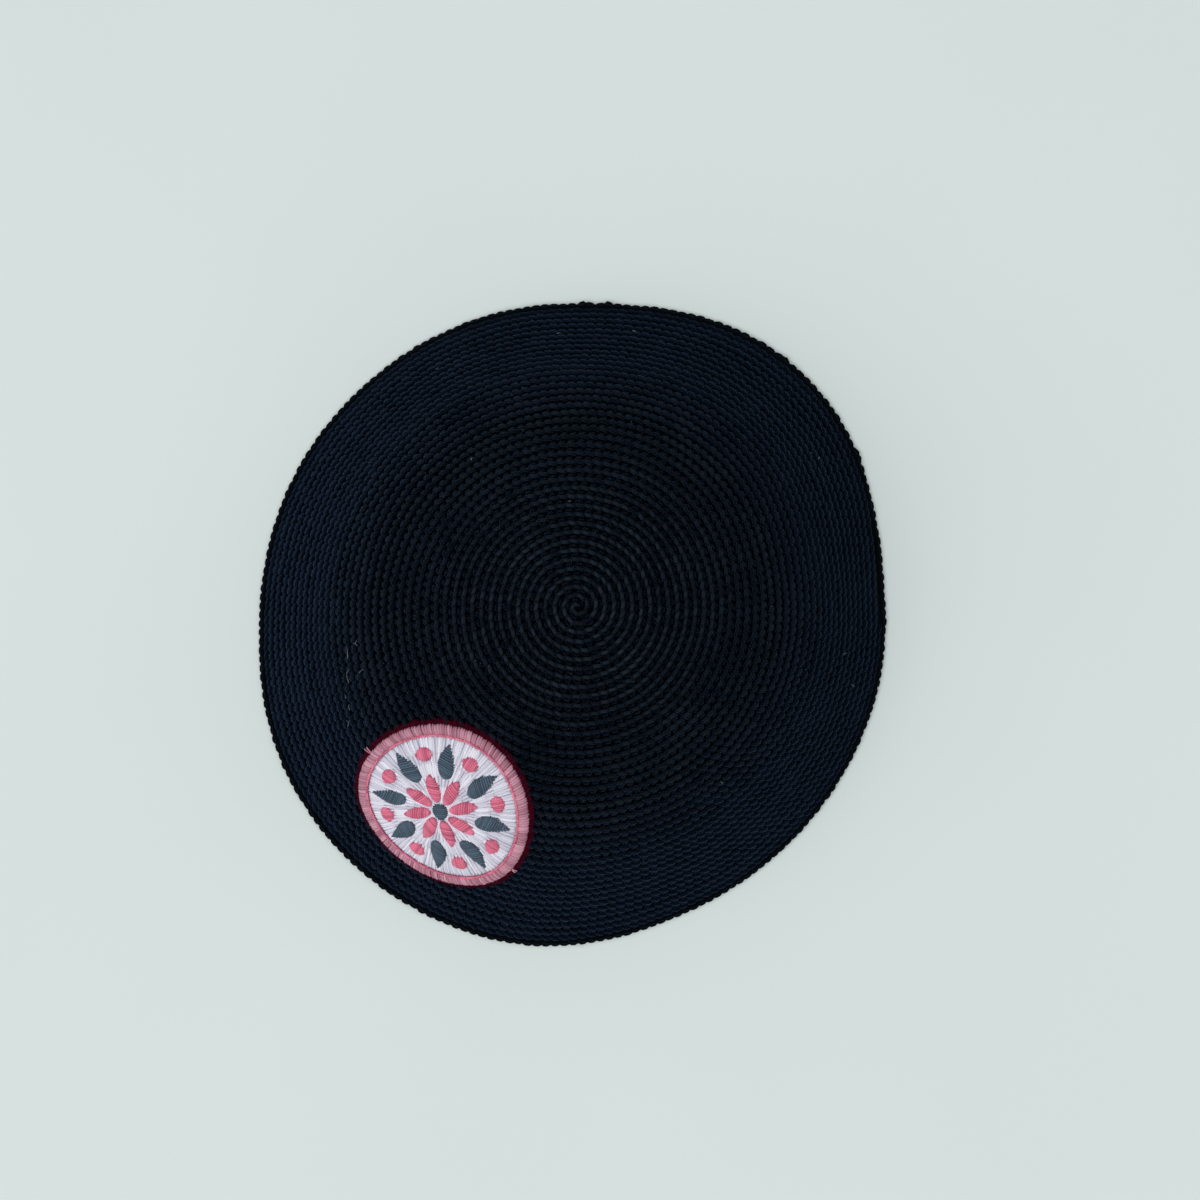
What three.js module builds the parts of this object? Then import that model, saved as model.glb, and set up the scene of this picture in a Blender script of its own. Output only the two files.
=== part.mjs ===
// A crocheted kippah lying crown up, with a round embroidered disc on the slope of its side.
// Millimetres, +Z up. The origin lies on the table under the middle of the cap. Seen from above
// with +Y upwards, the disc is at the lower left.
import * as THREE from "three";

// The cap
const RIM_RADIUS = 71.8;
const HEIGHT = 33;
const CROWN_WALL = 1.8;
const CROWN_SHIFT_X = 1.3;
const CROWN_SHIFT_Y = 1.5;
const EDGING_HEIGHT = 1.8;

// The embroidered disc: its rise is measured up the slope from the edging to the disc's lower
// edge, and its direction in degrees from +X
const DISC_RADIUS = 20.2;
const DISC_RISE = 9;
const DISC_DIRECTION = 236;
const BORDER_WIDTH = 2.4;
const BORDER_HEIGHT = 1.2;
const GROUND_HEIGHT = 0.7;

const MOTIF_HEIGHT = 0.5;
const SPOKES = 8;

// How much of a stitched pad's height its rounded upper edge takes
const ROUNDING = 0.25;

// The air between neighbouring pieces
const CLEARANCE = 0.3;

// The slope of the cap from its middle to its rim: radius is a share of RIM_RADIUS, height of HEIGHT.
const DOME = [
  { radius: 0, height: 1 },
  { radius: 0.15, height: 0.993 },
  { radius: 0.3, height: 0.972 },
  { radius: 0.45, height: 0.93 },
  { radius: 0.6, height: 0.827 },
  { radius: 0.75, height: 0.61 },
  { radius: 0.9, height: 0.24 },
  { radius: 1, height: 0 },
];

// Where the rim swells out of round or is drawn in: at and reach are degrees, swell a share of
// the radius.
const OUTLINE = [
  { at: 48, reach: 46, swell: 0.09 },
  { at: 90, reach: 50, swell: 0.024 },
  { at: 130, reach: 60, swell: 0.016 },
  { at: 215, reach: 40, swell: 0.034 },
  { at: 254, reach: 42, swell: 0.037 },
  { at: 312, reach: 55, swell: -0.018 },
];

// Soft dents of the cloth: x, y and reach are shares of RIM_RADIUS, depth of HEIGHT.
const DENTS = [
  { x: 0.02, y: 0.02, reach: 0.42, depth: 0.012 },
  { x: -0.62, y: -0.12, reach: 0.27, depth: 0.035 },
  { x: -0.2, y: 0.6, reach: 0.28, depth: 0.028 },
  { x: 0.56, y: 0.18, reach: 0.26, depth: 0.025 },
  { x: 0.4, y: -0.52, reach: 0.27, depth: 0.032 },
];

// The motifs on the disc: from and to are shares of the ground's radius, fill of the room between
// neighbours, and fullest of a motif's own length.
const MOTIFS = {
  heart: { to: 0.11 },
  petal: { from: 0.145, to: 0.5, fill: 0.95, fullest: 0.85 },
  leaf: { from: 0.48, to: 0.92, fill: 0.56, fullest: 0.55 },
  bud: { from: 0.68, to: 0.88 },
};

// How finely the surfaces are divided
const ROUND_SEGMENTS = 72;
const OUTER_ROWS = 16;
const INNER_ROWS = 12;
const DISC_SEGMENTS = 40;
const DISC_RINGS = 5;
const SMALL_SEGMENTS = 16;
const BLADE_SEGMENTS = 6;
const HALVINGS = 40;
const FITTING_STEPS = 12;

const DARK_YARN = new THREE.MeshStandardMaterial({ color: 0x0c1118, roughness: 0.92, metalness: 0 });
const EDGING_YARN = new THREE.MeshStandardMaterial({ color: 0x07090d, roughness: 0.9, metalness: 0 });
const WHITE_THREAD = new THREE.MeshStandardMaterial({ color: 0xd9d6e2, roughness: 0.5, metalness: 0 });
const ROSE_THREAD = new THREE.MeshStandardMaterial({ color: 0xb94a68, roughness: 0.48, metalness: 0 });
const NAVY_THREAD = new THREE.MeshStandardMaterial({ color: 0x3c4b5b, roughness: 0.5, metalness: 0 });

// The slope of the dome curve at one row of its table: level in the middle.
function slopeAtRow(i) {
  if (i === 0) return 0;
  const before = DOME[i - 1];
  const after = DOME[Math.min(i + 1, DOME.length - 1)];
  return (after.height - before.height) / (after.radius - before.radius);
}

// The height of the smooth curve through the rows of DOME, as a share of HEIGHT.
function heightShare(radius) {
  const last = DOME.length - 2;
  const i = Math.min(DOME.findLastIndex((row) => radius >= row.radius), last);
  const low = DOME[i];
  const high = DOME[i + 1];
  const span = high.radius - low.radius;
  const t = (radius - low.radius) / span;
  const value = low.height * (1 + 2 * t) * (1 - t) ** 2 + high.height * t * t * (3 - 2 * t);
  const tangent = slopeAtRow(i) * t * (1 - t) ** 2 + slopeAtRow(i + 1) * t * t * (t - 1);
  return value + tangent * span;
}

function domeHeight(radius) {
  return HEIGHT * heightShare(radius / RIM_RADIUS);
}

// The radius at which the dome has a given height, found by halving.
function radiusAtHeight(height) {
  let inside = 0;
  let outside = RIM_RADIUS;
  for (let i = 0; i < HALVINGS; i += 1) {
    const middle = (inside + outside) / 2;
    if (domeHeight(middle) > height) inside = middle;
    else outside = middle;
  }
  return outside;
}

// The share of its full size that a soft bump has at a distance from its middle.
function bump(distance, reach) {
  return distance < reach ? Math.cos((Math.PI / 2) * (distance / reach)) ** 2 : 0;
}

function swellAt(degrees) {
  const off = (at) => Math.abs(THREE.MathUtils.euclideanModulo(degrees - at + 180, 360) - 180);
  return OUTLINE.reduce((sum, row) => sum + row.swell * bump(off(row.at), row.reach), 0);
}

// Where a point of the round cap lies in plan once the rim is out of round and the crown has
// slid a little to one side.
function planOf(point) {
  const share = point.length() / RIM_RADIUS;
  const swell = swellAt(THREE.MathUtils.radToDeg(point.angle()));
  const slide = Math.max(0, 1 - share * share);
  const shift = new THREE.Vector2(CROWN_SHIFT_X, CROWN_SHIFT_Y);
  return point.clone().multiplyScalar(1 + swell * share * share).addScaledVector(shift, slide);
}

function dentAt(point) {
  const away = (row) => Math.hypot(point.x / RIM_RADIUS - row.x, point.y / RIM_RADIUS - row.y);
  return DENTS.reduce((sum, row) => sum + HEIGHT * row.depth * bump(away(row), row.reach), 0);
}

// The height of the cap's outer face over a point of its plan.
function capHeight(x, y) {
  const target = new THREE.Vector2(x, y);
  const point = target.clone();
  for (let i = 0; i < FITTING_STEPS; i += 1) {
    const miss = target.clone().sub(planOf(point));
    point.add(miss);
  }
  return domeHeight(point.length()) - dentAt(point);
}

// Moves each corner of a geometry to where a function of its place says.
function reshape(geometry, place) {
  const corners = geometry.attributes.position;
  const corner = new THREE.Vector3();
  for (let i = 0; i < corners.count; i += 1) {
    corner.copy(place(corner.fromBufferAttribute(corners, i)));
    corners.setXYZ(i, corner.x, corner.y, corner.z);
  }
  geometry.computeVertexNormals();
  return geometry;
}

// A profile of radius and height turned about +Z.
function turned(profile, segments) {
  return new THREE.LatheGeometry(profile, segments).rotateX(Math.PI / 2);
}

// Gives a piece that was turned about +Z the cap's own outline and dents.
function outOfRound(geometry) {
  return reshape(geometry, (corner) => {
    const point = new THREE.Vector2(corner.x, corner.y);
    const plan = planOf(point);
    return new THREE.Vector3(plan.x, plan.y, corner.z - dentAt(point));
  });
}

const SEAT_HEIGHT = EDGING_HEIGHT + CLEARANCE;
const SEAT_RADIUS = radiusAtHeight(SEAT_HEIGHT);
const RIM_STEEPNESS = Math.atan2(SEAT_HEIGHT, RIM_RADIUS - SEAT_RADIUS);
const SEAT_WIDTH = CROWN_WALL / Math.sin(RIM_STEEPNESS);

// The inner face of the wall, straight in from a point of the outer face.
function innerPoint(radius) {
  const step = 0.01;
  const fall = (domeHeight(radius) - domeHeight(radius + step)) / step;
  const steepness = Math.atan(fall);
  const inset = new THREE.Vector2(-Math.sin(steepness), -Math.cos(steepness));
  return new THREE.Vector2(radius, domeHeight(radius)).addScaledVector(inset, CROWN_WALL);
}

function crown() {
  const seatInside = new THREE.Vector2(SEAT_RADIUS - SEAT_WIDTH, SEAT_HEIGHT);
  const inner = [new THREE.Vector2(0, HEIGHT - CROWN_WALL)];
  for (let i = 1; i < INNER_ROWS; i += 1) {
    inner.push(innerPoint(((SEAT_RADIUS - SEAT_WIDTH) * i) / INNER_ROWS));
  }
  const outer = [];
  for (let i = 0; i < OUTER_ROWS; i += 1) {
    const radius = SEAT_RADIUS * (1 - i / OUTER_ROWS);
    outer.push(new THREE.Vector2(radius, domeHeight(radius)));
  }
  const profile = [...inner, seatInside, ...outer, new THREE.Vector2(0, HEIGHT)];
  return outOfRound(turned(profile, ROUND_SEGMENTS));
}

// The last round along the rim. It carries on the slant of the wall, flat where it lies on the
// table and where the crown stands on it: across is a share of its width, up of its height.
function edging() {
  const section = [
    { across: 0.14, up: 0 },
    { across: 0.86, up: 0 },
    { across: 1, up: 0.3 },
    { across: 1, up: 0.75 },
    { across: 0.9, up: 1 },
    { across: 0.1, up: 1 },
    { across: 0, up: 0.7 },
    { across: 0, up: 0.25 },
    { across: 0.14, up: 0 },
  ];
  const profile = section.map((row) => {
    const height = EDGING_HEIGHT * row.up;
    const radius = radiusAtHeight(height) - SEAT_WIDTH * (1 - row.across);
    return new THREE.Vector2(radius, height);
  });
  return outOfRound(turned(profile, ROUND_SEGMENTS));
}

const DISC_ANGLE = THREE.MathUtils.degToRad(DISC_DIRECTION);
const DISC_OUTWARD = new THREE.Vector2(Math.cos(DISC_ANGLE), Math.sin(DISC_ANGLE));
const DISC_ALONG = new THREE.Vector2(-DISC_OUTWARD.y, DISC_OUTWARD.x);
const SLOPE_STEP = 0.25;

// The line straight up the slope through the disc's middle, as distances from the origin in plan
// at every SLOPE_STEP of cloth from the crown's lower edge.
function slopeLine() {
  const heightAt = (distance) => capHeight(DISC_OUTWARD.x * distance, DISC_OUTWARD.y * distance);
  const line = [planOf(DISC_OUTWARD.clone().multiplyScalar(SEAT_RADIUS)).length()];
  while (line.at(-1) > 0) {
    const rise = heightAt(line.at(-1) - SLOPE_STEP) - heightAt(line.at(-1));
    line.push(line.at(-1) - SLOPE_STEP ** 2 / Math.hypot(SLOPE_STEP, rise));
  }
  return line;
}

const DISC_LINE = slopeLine();

// How far from the origin in plan the slope line is after a length of cloth up from the edging.
function distanceUpSlope(length) {
  const steps = length / SLOPE_STEP;
  const whole = Math.floor(steps);
  return THREE.MathUtils.lerp(DISC_LINE[whole], DISC_LINE[whole + 1], steps - whole);
}

// Lays a piece made flat about the disc's centre on the cap: +X runs round the cap, +Y up its
// slope and +Z out of the cloth, from the disc's own underside.
function laidOnCap(geometry) {
  const step = 0.05;
  return reshape(geometry, (corner) => {
    const distance = distanceUpSlope(DISC_RISE + DISC_RADIUS + corner.y);
    const foot = DISC_OUTWARD.clone().multiplyScalar(distance);
    foot.addScaledVector(DISC_ALONG, corner.x);
    const height = capHeight(foot.x, foot.y);
    const normal = new THREE.Vector3(
      (height - capHeight(foot.x + step, foot.y)) / step,
      (height - capHeight(foot.x, foot.y + step)) / step,
      1,
    ).normalize();
    return new THREE.Vector3(foot.x, foot.y, height).addScaledVector(normal, corner.z + CLEARANCE);
  });
}

// A round pad with rings of corners across it, so that it can follow the cap.
function pad(radius, bottom, top, rings, segments) {
  const rounding = ROUNDING * (top - bottom);
  const profile = [];
  for (let i = 0; i <= rings; i += 1) {
    profile.push(new THREE.Vector2((radius * i) / rings, bottom));
  }
  profile.push(new THREE.Vector2(radius, top - rounding));
  for (let i = rings; i > 0; i -= 1) {
    profile.push(new THREE.Vector2(((radius - rounding) * i) / rings, top));
  }
  profile.push(new THREE.Vector2(0, top));
  return laidOnCap(turned(profile, segments));
}

const GROUND_RADIUS = DISC_RADIUS - BORDER_WIDTH - CLEARANCE;
const MOTIF_BOTTOM = GROUND_HEIGHT + CLEARANCE;

function patchGround() {
  return pad(GROUND_RADIUS, 0, GROUND_HEIGHT, DISC_RINGS, DISC_SEGMENTS);
}

// The raised satin border: across is a share of its width, up of its height.
function patchBorder() {
  const section = [
    { across: 0, up: 0 },
    { across: 1, up: 0 },
    { across: 1, up: 0.5 },
    { across: 0.7, up: 1 },
    { across: 0.3, up: 1 },
    { across: 0, up: 0.5 },
    { across: 0, up: 0 },
  ];
  const inside = DISC_RADIUS - BORDER_WIDTH;
  const profile = section.map(
    (row) => new THREE.Vector2(inside + BORDER_WIDTH * row.across, BORDER_HEIGHT * row.up),
  );
  return laidOnCap(turned(profile, DISC_SEGMENTS));
}

function heart() {
  const radius = GROUND_RADIUS * MOTIFS.heart.to;
  return pad(radius, MOTIF_BOTTOM, MOTIF_BOTTOM + MOTIF_HEIGHT, 1, SMALL_SEGMENTS);
}

// A pointed oval along a spoke of the disc, as wide as the room between the spokes allows.
function blade(motif, angle) {
  const from = GROUND_RADIUS * motif.from;
  const to = GROUND_RADIUS * motif.to;
  const room = (Math.PI * (from + to)) / SPOKES;
  const side = (room * motif.fill) / 2;
  const fullest = THREE.MathUtils.lerp(from, to, motif.fullest);
  const shape = new THREE.Shape();
  shape.moveTo(from, 0);
  shape.bezierCurveTo(from, -side, fullest, -side, to, 0);
  shape.bezierCurveTo(fullest, side, from, side, from, 0);
  const bevel = ROUNDING * MOTIF_HEIGHT;
  const solid = new THREE.ExtrudeGeometry(shape, {
    depth: MOTIF_HEIGHT - 2 * bevel,
    curveSegments: BLADE_SEGMENTS,
    bevelThickness: bevel,
    bevelSize: bevel,
    bevelOffset: -bevel,
    bevelSegments: 1,
  });
  return laidOnCap(solid.translate(0, 0, MOTIF_BOTTOM + bevel).rotateZ(angle));
}

function bud(angle) {
  const radius = (GROUND_RADIUS * (MOTIFS.bud.to - MOTIFS.bud.from)) / 2;
  const profile = [
    new THREE.Vector2(0, MOTIF_BOTTOM),
    new THREE.Vector2(radius, MOTIF_BOTTOM),
    new THREE.Vector2(radius * (1 - ROUNDING), MOTIF_BOTTOM + MOTIF_HEIGHT),
    new THREE.Vector2(0, MOTIF_BOTTOM + MOTIF_HEIGHT),
  ];
  const solid = turned(profile, SMALL_SEGMENTS);
  return laidOnCap(solid.translate(GROUND_RADIUS * MOTIFS.bud.to - radius, 0, 0).rotateZ(angle));
}

function piece(name, geometry, material) {
  const mesh = new THREE.Mesh(geometry, material);
  mesh.name = name;
  return mesh;
}

function embroideredDisc() {
  const disc = new THREE.Group();
  disc.add(piece("patch_ground", patchGround(), WHITE_THREAD));
  disc.add(piece("patch_border", patchBorder(), ROSE_THREAD));
  disc.add(piece("heart", heart(), NAVY_THREAD));
  for (let i = 0; i < SPOKES; i += 1) {
    const spoke = (i * 2 * Math.PI) / SPOKES;
    const between = spoke + Math.PI / SPOKES;
    disc.add(piece(`petal_${i + 1}`, blade(MOTIFS.petal, spoke), ROSE_THREAD));
    disc.add(piece(`leaf_${i + 1}`, blade(MOTIFS.leaf, between), NAVY_THREAD));
    disc.add(piece(`bud_${i + 1}`, bud(spoke), ROSE_THREAD));
  }
  return disc;
}

const kippah = new THREE.Group();
kippah.add(piece("crown", crown(), DARK_YARN));
kippah.add(piece("edging", edging(), EDGING_YARN));
kippah.add(embroideredDisc());

export default kippah;
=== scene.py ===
"""The looks of a crocheted kippah: a dark cotton cap with an embroidered disc, lying crown up.

Metres, +Z up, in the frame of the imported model. The cap's smooth form is worked out by Dome. Each
round of crochet, each satin stitch and the edging are modelled as strands of yarn laid on it.
"""

import logging
import math
from dataclasses import dataclass, field
from enum import Enum
from typing import Any, Callable

import bmesh
import bpy
import numpy as np
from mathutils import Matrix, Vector


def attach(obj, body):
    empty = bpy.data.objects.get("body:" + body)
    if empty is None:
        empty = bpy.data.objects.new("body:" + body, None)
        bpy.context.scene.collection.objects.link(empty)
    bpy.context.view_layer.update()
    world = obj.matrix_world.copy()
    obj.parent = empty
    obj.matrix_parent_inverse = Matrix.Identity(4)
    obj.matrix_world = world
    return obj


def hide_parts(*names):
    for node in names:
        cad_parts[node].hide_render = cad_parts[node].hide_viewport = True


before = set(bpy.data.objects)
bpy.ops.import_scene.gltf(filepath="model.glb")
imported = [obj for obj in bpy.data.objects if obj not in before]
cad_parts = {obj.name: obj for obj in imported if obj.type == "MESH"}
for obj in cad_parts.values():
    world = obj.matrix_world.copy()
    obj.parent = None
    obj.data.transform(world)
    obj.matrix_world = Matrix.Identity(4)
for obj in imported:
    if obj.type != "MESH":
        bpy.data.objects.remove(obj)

Array = np.ndarray
LOG = logging.getLogger("kippah")
BODY = "root"
MM = 0.001
TURN = 2 * math.pi


class Slot(Enum):
    """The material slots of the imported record."""

    KNIT = "knit"
    EDGING = "edging"
    WHITE = "white_thread"
    ROSE = "rose_thread"
    NAVY = "navy_thread"


# Shader helpers


class Value:
    """A number in a shader, with arithmetic that adds Math nodes."""

    def __init__(self, tree: "Tree", socket: bpy.types.NodeSocket) -> None:
        """Keeps a socket and the tree that it belongs to."""
        self.tree = tree
        self.socket = socket

    def _with(self, operation: str, first: Any, second: Any) -> "Value":
        """Adds one Math node on two numbers or values."""
        node = self.tree.node("ShaderNodeMath", {"operation": operation}, {0: first, 1: second})
        return Value(self.tree, node.outputs[0])

    def __add__(self, other: Any) -> "Value":
        """This value plus another."""
        return self._with("ADD", self, other)

    __radd__ = __add__

    def __sub__(self, other: Any) -> "Value":
        """This value less another."""
        return self._with("SUBTRACT", self, other)

    def __rsub__(self, other: Any) -> "Value":
        """Another value less this one."""
        return self._with("SUBTRACT", other, self)

    def __mul__(self, other: Any) -> "Value":
        """This value times another."""
        return self._with("MULTIPLY", self, other)

    __rmul__ = __mul__

    def power(self, exponent: float) -> "Value":
        """This value raised to a power."""
        return self._with("POWER", self, exponent)


class Tree:
    """A material's nodes, each added by one method."""

    def __init__(self, name: str) -> None:
        """Starts an empty material."""
        self.material = bpy.data.materials.new(name)
        self.material.use_nodes = True
        self.nodes = self.material.node_tree.nodes
        self.links = self.material.node_tree.links
        self.nodes.clear()

    def node(self, kind: str, settings: dict[str, Any], sockets: dict[Any, Any]) -> bpy.types.Node:
        """Adds a node.

        Args:
            kind: the node's type.
            settings: its own settings, set first.
            sockets: a number, colour, Value or socket for each named or numbered input.

        Returns:
            The node.
        """
        node = self.nodes.new(kind)
        for key, value in settings.items():
            setattr(node, key, value)
        for key, value in sockets.items():
            if isinstance(value, Value):
                self.links.new(value.socket, node.inputs[key])
            elif isinstance(value, bpy.types.NodeSocket):
                self.links.new(value, node.inputs[key])
            else:
                node.inputs[key].default_value = value
        return node

    def attribute(self, name: str) -> Value:
        """A number kept on the mesh under a name."""
        node = self.node("ShaderNodeAttribute", {"attribute_name": name}, {})
        return Value(self, node.outputs["Fac"])

    def place(self) -> bpy.types.NodeSocket:
        """The point's place in the object."""
        return self.node("ShaderNodeTexCoord", {}, {}).outputs["Object"]

    def strand_map(self, around: float, along: float) -> bpy.types.NodeSocket:
        """The piece's own UV map, stretched by a factor around and along a strand."""
        uv = self.node("ShaderNodeUVMap", {"uv_map": "UVMap"}, {}).outputs["UV"]
        mapping = self.node("ShaderNodeMapping", {}, {"Vector": uv, "Scale": (around, along, 1.0)})
        return mapping.outputs["Vector"]

    def noise(self, scale: float, detail: float, where: bpy.types.NodeSocket) -> Value:
        """Soft noise of a scale, from 0 to 1."""
        inputs = {"Vector": where, "Scale": scale, "Detail": detail}
        return Value(self, self.node("ShaderNodeTexNoise", {}, inputs).outputs["Fac"])

    def waves(self, scale: float, distortion: float, where: bpy.types.NodeSocket) -> Value:
        """Slanting bands, as the plies of a twisted yarn make."""
        settings = {"wave_type": "BANDS", "bands_direction": "DIAGONAL"}
        inputs = {"Vector": where, "Scale": scale, "Distortion": distortion}
        return Value(self, self.node("ShaderNodeTexWave", settings, inputs).outputs["Fac"])

    def mix(self, share: Any, first: Any, second: Any) -> bpy.types.NodeSocket:
        """A colour between two colours."""
        settings = {"data_type": "RGBA", "clamp_factor": True}
        node = self.node("ShaderNodeMix", settings, {0: share, 6: first, 7: second})
        return node.outputs[2]

    def between(self, value: Value, low: float, high: float) -> Value:
        """A value from 0 to 1 spread between two numbers."""
        inputs = {"Value": value, "To Min": low, "To Max": high}
        node = self.node("ShaderNodeMapRange", {"clamp": True}, inputs)
        return Value(self, node.outputs["Result"])

    def bump(self, height: Value, strength: float, distance: float) -> bpy.types.NodeSocket:
        """A normal tipped by a height."""
        inputs = {"Height": height, "Strength": strength, "Distance": distance}
        return self.node("ShaderNodeBump", {}, inputs).outputs["Normal"]

    def finish(self, sockets: dict[str, Any]) -> bpy.types.Material:
        """Adds the surface shader and the output, and returns the material."""
        shader = self.node("ShaderNodeBsdfPrincipled", {}, sockets)
        self.node("ShaderNodeOutputMaterial", {}, {"Surface": shader.outputs["BSDF"]})
        return self.material


def linear(red: int, green: int, blue: int) -> tuple[float, float, float, float]:
    """A screen colour from 0 to 255 as the linear colour that a shader takes."""
    parts = [c / 255 for c in (red, green, blue)]
    low, high = 12.92, 1.055
    made = [c / low if c <= 0.04045 else ((c + high - 1) / high) ** 2.4 for c in parts]
    return (made[0], made[1], made[2], 1.0)


# Finishes


@dataclass(frozen=True)
class CottonFinish:
    """Matt crochet cotton, with its twist and a faint sheen.

    Attributes:
        name: the material's name.
        deep: its colour in the hollows, as painted shade, and on the darkest stitches.
        pale: its colour on the crests, as painted highlight, and on the palest stitches.
        side: the same on the cap's side, bluer, as painted sheen on the slope.
        sheen: how strongly its fuzz catches light at a slant.
        gloss: how much it reflects straight on.
        plies: how many plies the yarn is twisted from.
    """

    name: str
    deep: tuple[float, float, float, float]
    pale: tuple[float, float, float, float]
    side: tuple[float, float, float, float]
    sheen: float
    gloss: float
    plies: int = 3

    def material(self) -> bpy.types.Material:
        """The finish as a material for strands with a UV map and a tone."""
        tree = Tree(self.name)
        fuzz = tree.noise(5200.0, 3.0, tree.place())
        patches = tree.noise(70.0, 2.0, tree.place())
        twist = tree.waves(self.plies * TURN / 10, 0.8, tree.strand_map(1.0, 1.5))
        # The tone attribute carries painted highlight on the crests and painted shade in the hollows,
        # besides tone that differs at random.
        tone = tree.attribute("tone") * 0.75 + fuzz * 0.15 + (patches - 0.5) * 0.45
        tone = tone + (twist - 0.5) * 0.22
        # On the cap's side the crest colour turns to the bluer side colour, as painted sheen.
        crest = tree.mix(tree.attribute("side"), self.pale, self.side)
        return tree.finish({
            "Base Color": tree.mix(tone, self.deep, crest),
            "Roughness": tree.between(fuzz, 0.72, 0.95),
            "Normal": tree.bump(twist * 0.7 + fuzz * 0.3, 0.7, 0.18 * MM),
            "Sheen Weight": self.sheen,
            "Sheen Roughness": 0.42,
            "Sheen Tint": (0.4, 0.62, 1.0, 1.0),
            "Specular IOR Level": self.gloss,
            "Specular Tint": (0.55, 0.8, 1.0, 1.0),
        })


@dataclass(frozen=True)
class ClothFinish:
    """The crocheted cloth seen between and behind its stitches, painted darker than the yarn as painted
    shade between them.

    Attributes:
        name: the material's name.
        deep: its colour in the hollows, as painted shade.
        pale: its colour on the ridges.
        side: the same on the cap's side, paler and bluer, as painted sheen on the slope.
        stitches: stitches in a round, for the bump.
        rounds: rounds from the middle to the rim.
    """

    name: str
    deep: tuple[float, float, float, float]
    pale: tuple[float, float, float, float]
    side: tuple[float, float, float, float]
    stitches: float
    rounds: float

    def material(self) -> bpy.types.Material:
        """The finish as a material for a cloth whose UV map runs round and outwards."""
        tree = Tree(self.name)
        loops = tree.waves(0.5, 2.0, tree.strand_map(self.stitches, self.rounds))
        fuzz = tree.noise(4200.0, 3.0, tree.place())
        # Painted sheen on the side, and painted shade in the hollows of the loops.
        crest = tree.mix(tree.attribute("side"), self.pale, self.side)
        return tree.finish({
            "Base Color": tree.mix(loops * 0.6 + fuzz * 0.4, self.deep, crest),
            "Roughness": tree.between(fuzz, 0.8, 0.97),
            "Normal": tree.bump(loops * 0.7 + fuzz * 0.3, 0.6, 0.3 * MM),
            "Sheen Weight": 0.02,
            "Sheen Roughness": 0.45,
            "Sheen Tint": (0.45, 0.72, 1.0, 1.0),
            "Specular IOR Level": 0.015,
        })


@dataclass(frozen=True)
class ThreadFinish:
    """Embroidery thread, which shines across its fine filaments.

    Attributes:
        name: the material's name.
        deep: its colour where the filaments part.
        pale: its colour on the crest of a stitch.
        rough: how matt the thread is.
        gloss: how much it reflects straight on.
    """

    name: str
    deep: tuple[float, float, float, float]
    pale: tuple[float, float, float, float]
    rough: float = 0.42
    gloss: float = 0.5

    def material(self) -> bpy.types.Material:
        """The finish as a material for strands with a UV map and a tone."""
        tree = Tree(self.name)
        filaments = tree.noise(9.0, 2.0, tree.strand_map(1.4, 0.12))
        tone = tree.attribute("tone") * 0.6 + filaments * 0.4
        return tree.finish({
            "Base Color": tree.mix(tone, self.deep, self.pale),
            "Roughness": tree.between(filaments, self.rough, self.rough + 0.2),
            "Normal": tree.bump(filaments, 0.35, 0.05 * MM),
            "Sheen Weight": 0.1 * self.gloss,
            "Sheen Roughness": 0.3,
            "Specular IOR Level": self.gloss,
        })


@dataclass(frozen=True)
class TableFinish:
    """The pale, plain table top."""

    name: str = "pale_table"
    shade: tuple[float, float, float, float] = linear(206, 214, 212)
    light: tuple[float, float, float, float] = linear(211, 219, 217)

    def material(self) -> bpy.types.Material:
        """The finish as a material."""
        tree = Tree(self.name)
        cloudy = tree.noise(9.0, 2.0, tree.place())
        return tree.finish({
            "Base Color": tree.mix(cloudy, self.shade, self.light),
            "Roughness": tree.between(cloudy, 0.55, 0.65),
            "Specular IOR Level": 0.3,
        })


# Mesh helpers


def smoothed(mesh: bpy.types.Mesh) -> bpy.types.Mesh:
    """Marks every face of a mesh as smooth and returns it."""
    mesh.polygons.foreach_set("use_smooth", [True] * len(mesh.polygons))
    mesh.update()
    return mesh


def corners_of(mesh: bpy.types.Mesh) -> Array:
    """The mesh's corners as rows of three numbers."""
    places = np.empty(len(mesh.vertices) * 3)
    mesh.vertices.foreach_get("co", places)
    return places.reshape(-1, 3)


def move_corners(mesh: bpy.types.Mesh, places: Array) -> None:
    """Puts the mesh's corners where the rows say."""
    mesh.vertices.foreach_set("co", np.ascontiguousarray(places, np.float32).ravel())
    mesh.update()


def set_share(mesh: bpy.types.Mesh, name: str, shares: Array) -> None:
    """Keeps a number for each corner under a name that the finishes read."""
    mesh.attributes.new(name, "FLOAT", "POINT").data.foreach_set("value", shares)


def set_tone(mesh: bpy.types.Mesh, tones: Array) -> None:
    """Keeps how pale each corner is."""
    set_share(mesh, "tone", tones)


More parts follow.
